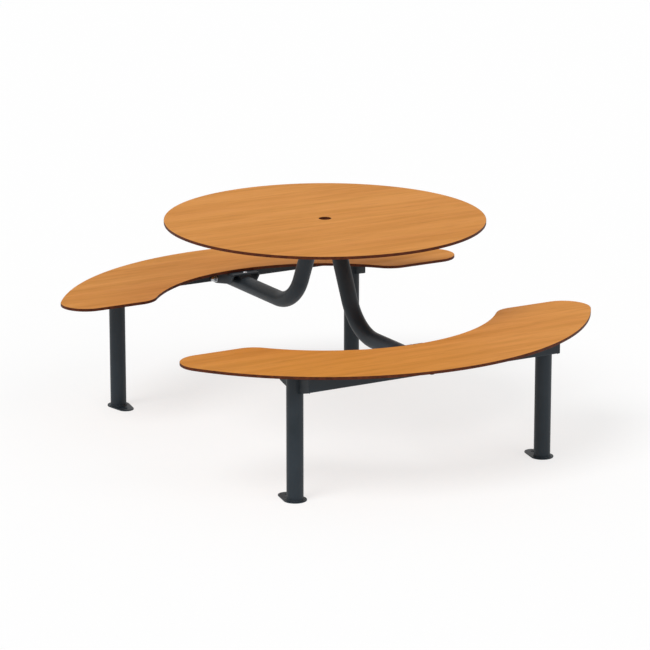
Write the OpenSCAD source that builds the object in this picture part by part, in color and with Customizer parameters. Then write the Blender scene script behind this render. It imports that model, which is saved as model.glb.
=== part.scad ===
// Round outdoor table with two attached curved benches.
// Thin solid boards are screwed to a welded and bolted frame of steel tube.
// Millimetres, +Z up. The origin is on the ground under the middle of the
// table, and the two benches face each other along Y.

/* [Boards] */
// Diameter of the tabletop
table_d = 1100; // [1000:10:1160]
// Height of the top of the table above the ground
table_h = 755; // [720:5:790]
// Thickness of the tabletop and bench boards
board_t = 10; // [9:1:16]
// Diameter of the parasol hole in the tabletop
pole_hole_d = 42; // [34:1:50]
// Chamfer along the rim of the tabletop and the arcs of the benches
rim_chamfer = 1; // [0.5:0.25:2]
// Height of the top of the benches above the ground
seat_h = 450; // [420:5:480]
// Radius of the outer arc of a bench, from the middle of the table
seat_outer_r = 911; // [880:1:950]
// Radius of the inner arc of a bench, from the middle of the table
seat_inner_r = 592; // [585:1:610]
// Distance from the middle of the table to the straight ends of a bench
seat_end_y = 349; // [320:1:380]
// Corner radius at the outer tips of a bench
seat_tip_r = 90; // [40:5:95]
// Corner radius at the inner corners of a bench
seat_inner_corner_r = 95; // [40:5:130]

/* [Legs and rails] */
// Diameter of the tube of the legs and arms
tube_d = 56; // [48:1:60]
// Wall of the tube of the legs and arms
tube_wall = 3; // [2:0.5:5]
// Distance of each leg from the middle, along a bench
leg_x = 480; // [440:5:500]
// Distance of each leg from the middle, across the benches
leg_y = 635; // [625:1:650]
// Length of the fin and the seat plate on a leg
fin_l = 188; // [170:2:200]
// Thickness of the fins, seat plates and cradles
plate_t = 6; // [4:1:8]
// Height of the fin where it crosses the leg
fin_mid_h = 68; // [60:1:80]
// Height of the rail under a bench
rail_h = 50; // [46:1:58]
// Width of the rail under a bench
rail_w = 20; // [16:1:30]
// Wall of the rail
rail_wall = 2; // [1.5:0.5:4]
// Width of a seat plate
seat_plate_w = 60; // [50:2:80]

/* [Foot plates] */
// Thickness of a foot plate
foot_t = 4; // [3:1:8]
// Radius of the foot plate round the leg
foot_big_r = 39; // [34:1:45]
// Radius of the drawn-out end of the foot plate
foot_small_r = 28; // [20:1:32]
// Distance from the leg to the anchor hole
foot_reach = 57; // [50:1:80]
// Diameter of the anchor hole
anchor_hole_d = 12; // [8:1:16]

/* [Arms and cradles] */
// Angle at which an arm rises to the table
arm_rise = 64.5; // [60:0.5:68]
// Bend radius of an arm, at the middle of its tube
arm_bend_r = 185; // [140:5:200]
// Gap between the parasol hole and the foot of an arm under the hub plate
arm_pole_gap = 2; // [1:0.5:10]
// Gap between the plug in an arm and the rail
arm_end_gap = 5; // [2:1:8]
// Flange of the plug in the outer end of an arm
cap_t = 3; // [2:0.5:5]
// Width of a cradle over its cheeks
cradle_w = 112; // [100:1:120]
// How far a cradle stands out past the inner edge of its bench
cradle_reach = 34; // [30:1:60]
// Length of the slanted front edge of a cradle cheek, along Y
cradle_slant_l = 24; // [16:1:40]
// Height of a cradle, top face included, where the slanted edge ends
cradle_nose_h = 38; // [24:1:44]
// Distance from the rail to the through bolt of a cradle
cradle_bolt_back = 26; // [24:1:32]
// Thickness of the saddle pad on top of an arm
pad_t = 6; // [3:1:8]
// Length of the saddle pad
pad_l = 24; // [20:1:30]
// Diameter of the hub plate under the tabletop
hub_d = 460; // [380:10:600]
// Thickness of the hub plate
hub_t = 6; // [4:1:10]

/* [Fasteners] */
// Thread diameter of the screws into the boards
board_screw_d = 6; // [5:0.5:8]
// Number of screws in the hub plate
hub_screws_n = 8; // [4:1:12]
// Thread diameter of the through bolts
bolt_d = 12; // [10:1:14]
// Thread diameter of the screws on top of the cradles
pad_screw_d = 8; // [6:1:10]
// Clearance of a screw or bolt in its hole, all round
hole_gap = 0.3; // [0.2:0.1:0.5]

/* [Hidden] */
$fn = 96;

tube_r = tube_d / 2;
bore_r = tube_r - tube_wall;
pole_hole_r = pole_hole_d / 2;

// Heights of the bench frame, from the board down
seat_under_z = seat_h - board_t;
frame_top_z = seat_under_z - plate_t;
rail_z = frame_top_z - rail_h;
fin_mid_z = frame_top_z - fin_mid_h;
arm_z = frame_top_z - pad_t - tube_r;

// Heights under the tabletop
table_under_z = table_h - board_t;
hub_z = table_under_z - hub_t;

// Distances from the middle of the table, across the benches
fin_in_y = leg_y - fin_l / 2;
fin_out_y = leg_y + fin_l / 2;
rail_in_y = fin_out_y - rail_w;
bolt_y = rail_in_y - cradle_bolt_back;
arm_end_y = rail_in_y - arm_end_gap - cap_t;
cradle_in_y = seat_inner_r - cradle_reach;
pad_y = cradle_in_y + pad_l / 2;

// The arm's straight parts would meet at arm_corner_y
arm_top_y = pole_hole_r + arm_pole_gap + tube_r / sin(arm_rise);
arm_corner_y = arm_top_y + (hub_z - arm_z) / tan(arm_rise);
arm_bend_y = arm_corner_y + arm_bend_r * tan(arm_rise / 2);
arm_rise_y = arm_bend_y - arm_bend_r * sin(arm_rise);
arm_rise_z = arm_z + arm_bend_r * (1 - cos(arm_rise));
arm_rise_l = (hub_z - arm_rise_z) / sin(arm_rise) + tube_d;
// A bent tube swells a little in its bend, and its straight parts run into the bend
bend_swell = 0.15;
bend_overlap = 2;

// Screws into the boards stop this far below the upper face
board_skin = 2;
board_screw_r = board_screw_d / 2;
screw_head_r = board_screw_d * 0.8;
screw_head_h = board_screw_d * 0.6;
// Every screw head narrows to this share, and has a socket of these shares
head_taper = 0.75;
socket_share = 0.5;
socket_depth = 0.6;
hub_screw_ring_r = hub_d / 2 - 4 * screw_head_r;
seat_screw_x = 18;
seat_screw_y = 60;
cradle_inside_x = cradle_w / 2 - plate_t;
web_screw_x = cradle_inside_x - screw_head_r - 0.5;
web_screw_ys = [seat_inner_r + 26, rail_in_y - 45];

bolt_r = bolt_d / 2;
washer_r = bolt_d;
washer_t = 2.5;
nut_across = bolt_d * 1.5;
nut_h = bolt_d * 0.85;
dome_r = bolt_d * 0.7;
bolt_head_h = bolt_d * 0.55;
bolt_head_r = bolt_d * 0.85;
spacer_r = bolt_r + 5;
pad_screw_r = pad_screw_d / 2;
pad_screw_head_r = pad_screw_d * 0.9;
pad_screw_head_h = pad_screw_d * 0.4;
pad_screw_below = 8;
touch_gap = 0.2;
cap_boss_l = 8;
// The sides of a foot plate start this far inside its two round ends
weld_in = 0.05;
cut = 1;

wood = [0.82, 0.56, 0.31];
steel = [0.18, 0.20, 0.22];
zinc = [0.80, 0.81, 0.83];
black = [0.07, 0.07, 0.08];

// Puts a piece modelled at +X +Y at one of the four corners
module at_corner(side_x, side_y) {
    mirror([side_x < 0 ? 1 : 0, 0, 0]) mirror([0, side_y < 0 ? 1 : 0, 0]) children();
}

// Puts a piece modelled at the back bench also at the front bench
module at_front() {
    rotate([0, 0, 180]) children();
}

module at_both_benches() {
    children();
    at_front() children();
}

// Boards

module tabletop() {
    r = table_d / 2;
    color(wood) difference() {
        translate([0, 0, table_under_z]) rotate_extrude() polygon([
            [pole_hole_r, 0], [r - rim_chamfer, 0], [r, rim_chamfer],
            [r, board_t - rim_chamfer], [r - rim_chamfer, board_t], [pole_hole_r, board_t]
        ]);
        at_hub_screws() board_screw_hole(table_under_z);
    }
}

// Corner trim between an arc and the straight end of a bench, all in plan.
// The corner circle touches the arc and the end; what lies outside it goes.
module seat_tip_trim() {
    cx = sqrt(pow(seat_outer_r - seat_tip_r, 2) - pow(seat_end_y + seat_tip_r, 2));
    cy = seat_end_y + seat_tip_r;
    far_x = seat_outer_r + cut;
    difference() {
        polygon([[cx, cy], [cx, seat_end_y - cut], [far_x, seat_end_y - cut], [far_x, cy * far_x / cx]]);
        translate([cx, cy]) circle(seat_tip_r);
    }
}

module seat_inner_trim() {
    ri = seat_inner_corner_r;
    cx = sqrt(pow(seat_inner_r + ri, 2) - pow(seat_end_y + ri, 2));
    cy = seat_end_y + ri;
    k = seat_inner_r / (seat_inner_r + ri);
    difference() {
        polygon([[cx, cy], [cx * k, cy * k] * 0.98, [cx * k * 0.9, seat_end_y - cut], [cx, seat_end_y - cut]]);
        translate([cx, cy]) circle(ri);
    }
}

module seat_ring() {
    rotate_extrude() polygon([
        [seat_inner_r + rim_chamfer, 0], [seat_outer_r - rim_chamfer, 0],
        [seat_outer_r, rim_chamfer], [seat_outer_r, board_t - rim_chamfer],
        [seat_outer_r - rim_chamfer, board_t], [seat_inner_r + rim_chamfer, board_t],
        [seat_inner_r, board_t - rim_chamfer], [seat_inner_r, rim_chamfer]
    ]);
}

module seat_board() {
    color(wood) difference() {
        translate([0, 0, seat_under_z]) intersection() {
            seat_ring();
            translate([0, 0, -cut]) linear_extrude(board_t + 2 * cut) difference() {
                translate([-seat_outer_r - cut, seat_end_y]) square([2 * (seat_outer_r + cut), seat_outer_r]);
                for (side = [0, 1]) mirror([side, 0]) {
                    seat_tip_trim();
                    seat_inner_trim();
                }
            }
        }
        at_seat_screws() board_screw_hole(seat_under_z);
    }
}

module seat_front() { at_front() seat_board(); }
module seat_back() { seat_board(); }

// Screws into the boards, driven from below

module board_screw(plate_z, plate) {
    shank_l = plate + board_t - board_skin;
    translate([0, 0, plate_z]) {
        cylinder(r = board_screw_r, h = shank_l);
        translate([0, 0, -screw_head_h]) difference() {
            cylinder(r1 = screw_head_r * head_taper, r2 = screw_head_r, h = screw_head_h);
            translate([0, 0, -cut])
                cylinder(r = screw_head_r * socket_share, h = screw_head_h * socket_depth + cut, $fn = 6);
        }
    }
}

module board_screw_hole(board_z) {
    translate([0, 0, board_z - cut])
        cylinder(r = board_screw_r + hole_gap, h = board_t - board_skin + cut + hole_gap);
}

module plate_screw_hole(plate_z, plate) {
    translate([0, 0, plate_z - cut]) cylinder(r = board_screw_r + hole_gap, h = plate + 2 * cut);
}

module at_hub_screws() {
    for (i = [0 : hub_screws_n - 1])
        rotate([0, 0, (i + 0.5) * 360 / hub_screws_n]) translate([hub_screw_ring_r, 0, 0]) children();
}

module at_plate_screws() {
    for (dx = [-seat_screw_x, seat_screw_x], dy = [-seat_screw_y, seat_screw_y])
        translate([leg_x + dx, leg_y + dy, 0]) children();
}

module at_web_screws() {
    for (side = [-1, 1], y = web_screw_ys) translate([side * web_screw_x, y, 0]) children();
}

module at_seat_screws() {
    for (side = [0, 1]) mirror([side, 0, 0]) at_plate_screws() children();
    at_web_screws() children();
}

module hub_screws() { color(zinc) at_hub_screws() board_screw(hub_z, hub_t); }
module seat_screws() { color(zinc) at_seat_screws() board_screw(frame_top_z, plate_t); }
module seat_screws_front() { at_front() seat_screws(); }
module seat_screws_back() { seat_screws(); }

// Legs: a tube slotted at the top for the fin, on a foot plate

module leg() {
    color(steel) difference() {
        translate([leg_x, leg_y, foot_t]) difference() {
            cylinder(r = tube_r, h = frame_top_z - foot_t);
            translate([0, 0, -cut]) cylinder(r = bore_r, h = frame_top_z);
        }
        translate([leg_x - plate_t / 2, leg_y - tube_d, fin_mid_z]) cube([plate_t, 2 * tube_d, fin_mid_h + cut]);
    }
}

module foot_plate() {
    lean = acos((foot_big_r - foot_small_r) / foot_reach);
    big = (foot_big_r - weld_in) * [sin(lean), -cos(lean)];
    small = (foot_small_r - weld_in) * [sin(lean), -cos(lean)] - [0, foot_reach];
    color(steel) translate([leg_x, leg_y, 0]) difference() {
        union() {
            cylinder(r = foot_big_r, h = foot_t);
            translate([0, -foot_reach, 0]) cylinder(r = foot_small_r, h = foot_t);
            linear_extrude(foot_t) polygon([big, small, [-small[0], small[1]], [-big[0], big[1]]]);
        }
        translate([0, -foot_reach, -cut]) cylinder(d = anchor_hole_d, h = foot_t + 2 * cut);
    }
}

module fin() {
    color(steel) translate([leg_x - plate_t / 2, 0, 0]) rotate([90, 0, 90]) linear_extrude(plate_t) polygon([
        [fin_in_y, frame_top_z], [fin_in_y, rail_z], [leg_y - tube_r, fin_mid_z],
        [leg_y + tube_r, fin_mid_z], [fin_out_y, rail_z], [fin_out_y, frame_top_z]
    ]);
}

module seat_plate() {
    color(steel) difference() {
        translate([leg_x - seat_plate_w / 2, fin_in_y, frame_top_z]) cube([seat_plate_w, fin_l, plate_t]);
        at_plate_screws() plate_screw_hole(frame_top_z, plate_t);
    }
}

module leg_front_left() { at_corner(-1, -1) leg(); }
module leg_front_right() { at_corner(1, -1) leg(); }
module leg_back_left() { at_corner(-1, 1) leg(); }
module leg_back_right() { at_corner(1, 1) leg(); }
module foot_plate_front_left() { at_corner(-1, -1) foot_plate(); }
module foot_plate_front_right() { at_corner(1, -1) foot_plate(); }
module foot_plate_back_left() { at_corner(-1, 1) foot_plate(); }
module foot_plate_back_right() { at_corner(1, 1) foot_plate(); }
module fin_front_left() { at_corner(-1, -1) fin(); }
module fin_front_right() { at_corner(1, -1) fin(); }
module fin_back_left() { at_corner(-1, 1) fin(); }
module fin_back_right() { at_corner(1, 1) fin(); }
module seat_plate_front_left() { at_corner(-1, -1) seat_plate(); }
module seat_plate_front_right() { at_corner(1, -1) seat_plate(); }
module seat_plate_back_left() { at_corner(-1, 1) seat_plate(); }
module seat_plate_back_right() { at_corner(1, 1) seat_plate(); }

// Rail: a rectangular tube between the two fins of a bench

module rail() {
    l = 2 * leg_x - plate_t;
    color(steel) translate([-l / 2, rail_in_y, rail_z]) difference() {
        cube([l, rail_w, rail_h]);
        translate([-cut, rail_wall, rail_wall]) cube([l + 2 * cut, rail_w - 2 * rail_wall, rail_h - 2 * rail_wall]);
    }
}

module rail_front() { at_front() rail(); }
module rail_back() { rail(); }

// Arms: a bent tube from the rail of a bench to the hub plate

module arm_rod(r, past) {
    translate([0, arm_end_y + past, arm_z]) rotate([90, 0, 0])
        cylinder(r = r, h = arm_end_y + past + bend_overlap - arm_bend_y);
    translate([0, arm_bend_y, arm_z + arm_bend_r]) rotate([0, 90, 180])
        rotate_extrude(angle = arm_rise) translate([arm_bend_r, 0]) circle(r + bend_swell);
    translate([0, arm_rise_y, arm_rise_z]) rotate([90 - arm_rise, 0, 0]) translate([0, 0, -bend_overlap])
        cylinder(r = r, h = arm_rise_l + past + bend_overlap);
}

module arm() {
    color(steel) difference() {
        arm_rod(tube_r, 0);
        arm_rod(bore_r, cut);
        translate([-tube_d, -tube_d * 4, hub_z]) cube([2 * tube_d, tube_d * 8, tube_d * 2]);
        bolt_bore(tube_d);
        translate([0, pad_y, arm_z]) cylinder(r = pad_screw_r + hole_gap, h = tube_d);
    }
}

module arm_front() { at_front() arm(); }
module arm_back() { arm(); }

// Plug in the open outer end of an arm
module arm_plugs() {
    color(black) at_both_benches() translate([0, arm_end_y, arm_z]) rotate([-90, 0, 0]) {
        cylinder(r = tube_r, h = cap_t);
        translate([0, 0, -cap_boss_l]) cylinder(r = bore_r - touch_gap, h = cap_boss_l);
    }
}

module hub_plate() {
    color(steel) difference() {
        translate([0, 0, hub_z]) cylinder(d = hub_d, h = hub_t);
        translate([0, 0, hub_z - cut]) cylinder(r = pole_hole_r, h = hub_t + 2 * cut);
        at_hub_screws() plate_screw_hole(hub_z, hub_t);
    }
}

// Cradles: a folded plate over the end of an arm, with a web and two cheeks

module bolt_bore(length) {
    translate([-length, bolt_y, arm_z]) rotate([0, 90, 0]) cylinder(r = bolt_r + hole_gap, h = 2 * length);
}

module cheek(x) {
    translate([x, 0, 0]) rotate([90, 0, 90]) linear_extrude(plate_t) polygon([
        [cradle_in_y, frame_top_z], [cradle_in_y + cradle_slant_l, seat_under_z - cradle_nose_h],
        [bolt_y, rail_z], [rail_in_y, rail_z], [rail_in_y, frame_top_z]
    ]);
}

module cradle() {
    color(steel) difference() {
        union() {
            translate([-cradle_w / 2, cradle_in_y, frame_top_z])
                cube([cradle_w, fin_out_y - cradle_in_y, plate_t]);
            cheek(cradle_inside_x);
            cheek(-cradle_w / 2);
        }
        bolt_bore(cradle_w);
        at_web_screws() plate_screw_hole(frame_top_z, plate_t);
        translate([0, pad_y, frame_top_z - cut]) cylinder(r = pad_screw_r + hole_gap, h = plate_t + 2 * cut);
    }
}

module cradle_front() { at_front() cradle(); }
module cradle_back() { cradle(); }

// Through bolt from +X with a button head; the dome nut is at -X
module cradle_bolts() {
    face = cradle_w / 2 + washer_t;
    color(zinc) at_both_benches() translate([0, bolt_y, arm_z]) rotate([0, 90, 0]) {
        translate([0, 0, -face - nut_h + cut]) cylinder(r = bolt_r, h = 2 * face + nut_h - cut);
        translate([0, 0, face]) difference() {
            cylinder(r1 = bolt_head_r, r2 = bolt_head_r * head_taper, h = bolt_head_h);
            translate([0, 0, bolt_head_h * (1 - socket_depth)])
                cylinder(r = bolt_head_r * socket_share, h = bolt_head_h, $fn = 6);
        }
    }
}

module cradle_washers() {
    color(zinc) at_both_benches() for (x = [cradle_w / 2, -cradle_w / 2 - washer_t])
        translate([x, bolt_y, arm_z]) rotate([0, 90, 0]) difference() {
            cylinder(r = washer_r, h = washer_t);
            translate([0, 0, -cut]) cylinder(r = bolt_r + hole_gap, h = washer_t + 2 * cut);
        }
}

module cradle_dome_nuts() {
    color(zinc) at_both_benches()
        translate([-cradle_w / 2 - washer_t, bolt_y, arm_z]) rotate([0, -90, 0]) difference() {
            union() {
                cylinder(r = nut_across / 2 / cos(30), h = nut_h, $fn = 6);
                cylinder(r = dome_r, h = nut_h + cut);
                translate([0, 0, nut_h + cut]) sphere(r = dome_r);
            }
            translate([0, 0, -cut]) cylinder(r = bolt_r, h = nut_h);
        }
}

// Spacer between the arm and a cheek, hollowed to sit on the tube
module cradle_spacers() {
    start = tube_r * 0.8;
    color(steel) at_both_benches() for (side = [0, 1]) mirror([side, 0, 0]) difference() {
        translate([start, bolt_y, arm_z]) rotate([0, 90, 0]) cylinder(r = spacer_r, h = cradle_inside_x - start);
        bolt_bore(cradle_w);
        translate([0, arm_end_y, arm_z]) rotate([90, 0, 0]) cylinder(r = tube_r + touch_gap, h = tube_d * 2);
    }
}

// Saddle between the top of the arm and the web of the cradle
module saddle_pads() {
    w = tube_d * 0.7;
    color(black) at_both_benches() difference() {
        translate([-w / 2, pad_y - pad_l / 2, frame_top_z - pad_t - tube_r * 0.25])
            cube([w, pad_l, pad_t + tube_r * 0.25]);
        translate([0, pad_y + pad_l, arm_z]) rotate([90, 0, 0]) cylinder(r = tube_r + touch_gap, h = pad_l * 2);
        translate([0, pad_y, arm_z]) cylinder(r = pad_screw_r + hole_gap, h = tube_d);
    }
}

module saddle_screws() {
    bottom = arm_z + tube_r - tube_wall - pad_screw_below;
    color(zinc) at_both_benches() translate([0, pad_y, 0]) {
        translate([0, 0, bottom]) cylinder(r = pad_screw_r, h = seat_under_z - bottom);
        translate([0, 0, seat_under_z]) difference() {
            cylinder(r1 = pad_screw_head_r, r2 = pad_screw_head_r * head_taper, h = pad_screw_head_h);
            translate([0, 0, pad_screw_head_h * (1 - socket_depth)])
                cylinder(r = pad_screw_head_r * socket_share, h = pad_screw_head_h, $fn = 6);
        }
    }
}

tabletop();
hub_plate();
hub_screws();
seat_front();
seat_back();
seat_screws_front();
seat_screws_back();
leg_front_left();
leg_front_right();
leg_back_left();
leg_back_right();
foot_plate_front_left();
foot_plate_front_right();
foot_plate_back_left();
foot_plate_back_right();
fin_front_left();
fin_front_right();
fin_back_left();
fin_back_right();
seat_plate_front_left();
seat_plate_front_right();
seat_plate_back_left();
seat_plate_back_right();
rail_front();
rail_back();
arm_front();
arm_back();
arm_plugs();
cradle_front();
cradle_back();
cradle_bolts();
cradle_washers();
cradle_dome_nuts();
cradle_spacers();
saddle_pads();
saddle_screws();
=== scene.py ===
# Round outdoor table with two attached benches: boards, tube frame, fasteners
import math
import bpy
import bmesh
from mathutils import Matrix, Vector


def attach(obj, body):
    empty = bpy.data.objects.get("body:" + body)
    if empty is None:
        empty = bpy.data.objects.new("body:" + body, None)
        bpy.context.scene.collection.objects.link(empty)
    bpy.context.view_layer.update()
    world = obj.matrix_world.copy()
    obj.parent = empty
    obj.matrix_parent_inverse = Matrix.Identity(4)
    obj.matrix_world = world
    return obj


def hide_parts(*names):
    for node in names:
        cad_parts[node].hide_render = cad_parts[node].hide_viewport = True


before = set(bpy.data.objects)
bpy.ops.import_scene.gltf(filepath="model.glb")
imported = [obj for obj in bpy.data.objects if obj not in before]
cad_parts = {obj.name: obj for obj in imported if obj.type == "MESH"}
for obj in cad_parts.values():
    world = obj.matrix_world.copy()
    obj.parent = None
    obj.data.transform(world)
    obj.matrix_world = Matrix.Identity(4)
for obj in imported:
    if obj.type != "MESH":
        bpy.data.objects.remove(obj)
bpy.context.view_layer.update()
mm = 0.001
scene = bpy.context.scene

# Camera, solved from the round tabletop, the benches and the feet
cameraFit = {
    "place": (-5.817, -10.050, 3.480), "lookAt": (0.0, 0.0, 0.378),
    "lens": 193.5, "sensor": 36.0, "clipEnd": 100.0,
}
camData = bpy.data.cameras.new("photoCamera")
camData.lens = cameraFit["lens"]
camData.sensor_width = cameraFit["sensor"]
camData.clip_end = cameraFit["clipEnd"]
camera = bpy.data.objects.new("photoCamera", camData)
camera.location = cameraFit["place"]
lookDir = Vector(cameraFit["lookAt"]) - Vector(cameraFit["place"])
camera.rotation_euler = lookDir.to_track_quat("-Z", "Y").to_euler()
scene.collection.objects.link(camera)
scene.camera = camera
scene.view_settings.view_transform = "Standard"
print("camera ready")


# Helpers for node trees

nodeSpacing = 220


def addNode(tree, kind, feeds=None, **values):
    # A node with its properties set, its inputs fed from other nodes or with plain values
    node = tree.nodes.new(kind)
    node.location = (nodeSpacing * len(tree.nodes), 0)
    for name, value in values.items():
        setattr(node, name, value)
    for name, given in (feeds or {}).items():
        for source in given if isinstance(given, list) else [given]:
            if isinstance(source, bpy.types.NodeSocket):
                tree.links.new(source, node.inputs[name])
            else:
                node.inputs[name].default_value = source
    return node


def maths(tree, operation, first, second=0.0):
    return addNode(tree, "ShaderNodeMath", {0: first, 1: second}, operation=operation).outputs[0]


def newMaterial(name):
    material = bpy.data.materials.new(name)
    material.use_nodes = True
    tree = material.node_tree
    tree.nodes.clear()
    shader = addNode(tree, "ShaderNodeBsdfPrincipled")
    addNode(tree, "ShaderNodeOutputMaterial", {"Surface": shader.outputs["BSDF"]})
    return material, tree, shader


def objectCoords(tree, scale=(1.0, 1.0, 1.0)):
    coords = addNode(tree, "ShaderNodeTexCoord").outputs["Object"]
    return addNode(tree, "ShaderNodeMapping", {"Vector": coords, "Scale": scale}).outputs["Vector"]


def noiseTexture(tree, vector, scale, detail, roughness, distortion=0.0):
    return addNode(tree, "ShaderNodeTexNoise", {
        "Vector": vector, "Scale": scale, "Detail": detail, "Roughness": roughness,
        "Distortion": distortion}).outputs["Fac"]


def ramp(tree, factor, stops):
    node = addNode(tree, "ShaderNodeValToRGB", {"Fac": factor})
    elements = node.color_ramp.elements
    while len(elements) < len(stops):
        elements.new(0.5)
    for element, (position, colour) in zip(elements, stops):
        element.position = position
        element.color = (*colour, 1.0)
    return node.outputs["Color"]


def mixColours(tree, factor, a, b, blend):
    # The colour sockets of this node are inputs 6 and 7 and output 2
    feeds = {0: factor, 6: a, 7: b}
    return addNode(tree, "ShaderNodeMix", feeds, data_type="RGBA", blend_type=blend).outputs[2]


def mapRange(tree, value, low, high, newLow, newHigh):
    return addNode(tree, "ShaderNodeMapRange", {
        "Value": value, "From Min": low, "From Max": high, "To Min": newLow, "To Max": newHigh,
    }).outputs["Result"]


def linear(r, g, b):
    # Screen values of 0 to 255 as linear light
    def one(v):
        v = v / 255
        return v / 12.92 if v <= 0.04045 else ((v + 0.055) / 1.055) ** 2.4
    return (one(r), one(g), one(b))


def toneRamp(tree, factor, tones):
    return ramp(tree, factor, [(position, linear(*tone)) for position, tone in tones])


# Nearly all values of a noise texture lie in this span
noiseSpan = (0.3, 0.7)


def finishSurface(tree, shader, colour, roughNoise, bumpNoise, look):
    # Colour, shine, roughness that follows one noise, and a bump from another
    rough = mapRange(tree, roughNoise, *noiseSpan, *look["roughness"])
    strength, distance = look["bump"]
    bump = addNode(tree, "ShaderNodeBump", {"Strength": strength, "Distance": distance, "Height": bumpNoise})
    tree.links.new(colour, shader.inputs["Base Color"])
    tree.links.new(rough, shader.inputs["Roughness"])
    tree.links.new(bump.outputs["Normal"], shader.inputs["Normal"])
    shader.inputs["Specular IOR Level"].default_value = look["shine"]


# Board faces: a light wood decor with its grain along the benches

# Tones are screen colours at noise values, and a bump is a strength and a height in metres
decorLook = {
    "broad": {"scale": 7.28, "detail": 3.0, "roughness": 0.5, "distortion": 0.6},
    "grain": {"scale": 26.0, "detail": 6.0, "roughness": 0.62, "distortion": 0.25},
    "pores": {"scale": 190.0, "detail": 2.0, "roughness": 0.5},
    "grainStretch": 14.0,
    "tones": [(0.30, (202, 131, 54)), (0.50, (207, 137, 59)), (0.72, (212, 143, 65))],
    "streakTint": [(0.35, (0.86, 0.84, 0.82)), (0.55, (1.0, 1.0, 1.0)), (0.75, (1.05, 1.06, 1.08))],
    "streakShare": 0.85,
    "poreTint": [(0.34, (0.80, 0.74, 0.68)), (0.44, (1.0, 1.0, 1.0))],
    "poreShare": 0.45,
    "roughness": (0.61, 0.51), "shine": 0.08, "bump": (0.10, 0.0002),
}


def makeDecor():
    look = decorLook
    material, tree, shader = newMaterial("boardDecor")
    along = objectCoords(tree, (1.0 / look["grainStretch"], 1.0, 1.0))
    broad, grain, pores = (noiseTexture(tree, along, **look[key]) for key in ("broad", "grain", "pores"))
    base = toneRamp(tree, broad, look["tones"])
    streaks = ramp(tree, grain, look["streakTint"])
    streaked = mixColours(tree, look["streakShare"], base, streaks, "MULTIPLY")
    porous = mixColours(tree, look["poreShare"], streaked, ramp(tree, pores, look["poreTint"]), "MULTIPLY")
    finishSurface(tree, shader, porous, grain, pores, look)
    return material


# Board edges: the dark resin core, in fine layers

coreLook = {
    "layers": {"Scale": 900.0, "Distortion": 1.5, "Detail": 2.0},
    "mottle": {"scale": 60.0, "detail": 4.0, "roughness": 0.6},
    "tones": [(0.30, (58, 24, 11)), (0.75, (96, 47, 24))],
    "layerShare": 0.22,
    "roughness": (0.49, 0.63), "shine": 0.12, "bump": (0.15, 0.0004),
}


def makeCore():
    look = coreLook
    material, tree, shader = newMaterial("boardCore")
    vector = objectCoords(tree)
    feeds = {"Vector": vector, **look["layers"]}
    layers = addNode(tree, "ShaderNodeTexWave", feeds, wave_type="BANDS", bands_direction="Z")
    mottle = noiseTexture(tree, vector, **look["mottle"])
    base = toneRamp(tree, mottle, look["tones"])
    banded = mixColours(tree, look["layerShare"], base, layers.outputs["Color"], "OVERLAY")
    finishSurface(tree, shader, banded, mottle, mottle, look)
    return material


# Steel: dark powder coat with a fine texture, a little paler where it has been rubbed

coatLook = {
    "cloud": {"scale": 9.0, "detail": 4.0, "roughness": 0.55},
    "peel": {"scale": 1400.0, "detail": 2.0, "roughness": 0.5},
    "tones": [(0.30, (27, 36, 42)), (0.50, (30, 39, 46)), (0.75, (34, 43, 50))],
    "worn": (60, 67, 73),
    "edgeWear": [(0.52, (0.0, 0.0, 0.0)), (0.60, (1.0, 1.0, 1.0))],
    "roughness": (0.45, 0.51), "shine": 0.25, "bump": (0.06, 0.00012),
}


def makeCoat():
    look = coatLook
    material, tree, shader = newMaterial("powderCoat")
    vector = objectCoords(tree)
    cloud = noiseTexture(tree, vector, **look["cloud"])
    peel = noiseTexture(tree, vector, **look["peel"])
    base = toneRamp(tree, cloud, look["tones"])
    edges = ramp(tree, addNode(tree, "ShaderNodeNewGeometry").outputs["Pointiness"], look["edgeWear"])
    wear = mixColours(tree, edges, (0.0, 0.0, 0.0, 1.0), cloud, "MIX")
    rubbed = mixColours(tree, wear, base, (*linear(*look["worn"]), 1.0), "MIX")
    finishSurface(tree, shader, rubbed, cloud, peel, look)
    return material


# Bright zinc for the fasteners, and black rubber

zincLook = {
    "cloud": {"scale": 260.0, "detail": 3.0, "roughness": 0.6},
    "tones": [(0.30, (178, 182, 187)), (0.70, (205, 208, 212))],
    "roughness": (0.31, 0.46), "shine": 0.5, "bump": (0.06, 0.0001), "metallic": 1.0,
}
rubberLook = {
    "cloud": {"scale": 320.0, "detail": 4.0, "roughness": 0.6},
    "tones": [(0.35, (20, 20, 22)), (0.70, (34, 34, 36))],
    "roughness": (0.72, 0.82), "shine": 0.5, "bump": (0.2, 0.0002), "metallic": 0.0,
}


def makeCloudy(name, look):
    material, tree, shader = newMaterial(name)
    cloud = noiseTexture(tree, objectCoords(tree), **look["cloud"])
    shader.inputs["Metallic"].default_value = look["metallic"]
    finishSurface(tree, shader, toneRamp(tree, cloud, look["tones"]), cloud, cloud, look)
    return material


decor = makeDecor()
core = makeCore()
coat = makeCoat()
zinc = makeCloudy("brightZinc", zincLook)
rubber = makeCloudy("blackRubber", rubberLook)
print("materials ready")


# Mesh helpers

# Sizes are in mm, and meshes in metres
mergeAt = 0.00001
# Edges that bend more than this, in degrees, are softened and shaded sharp
smoothBelow = 32.0
normalWeight = 80


def ready(piece, nodes):
    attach(piece, "root")
    if nodes:
        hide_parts(*nodes)


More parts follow.
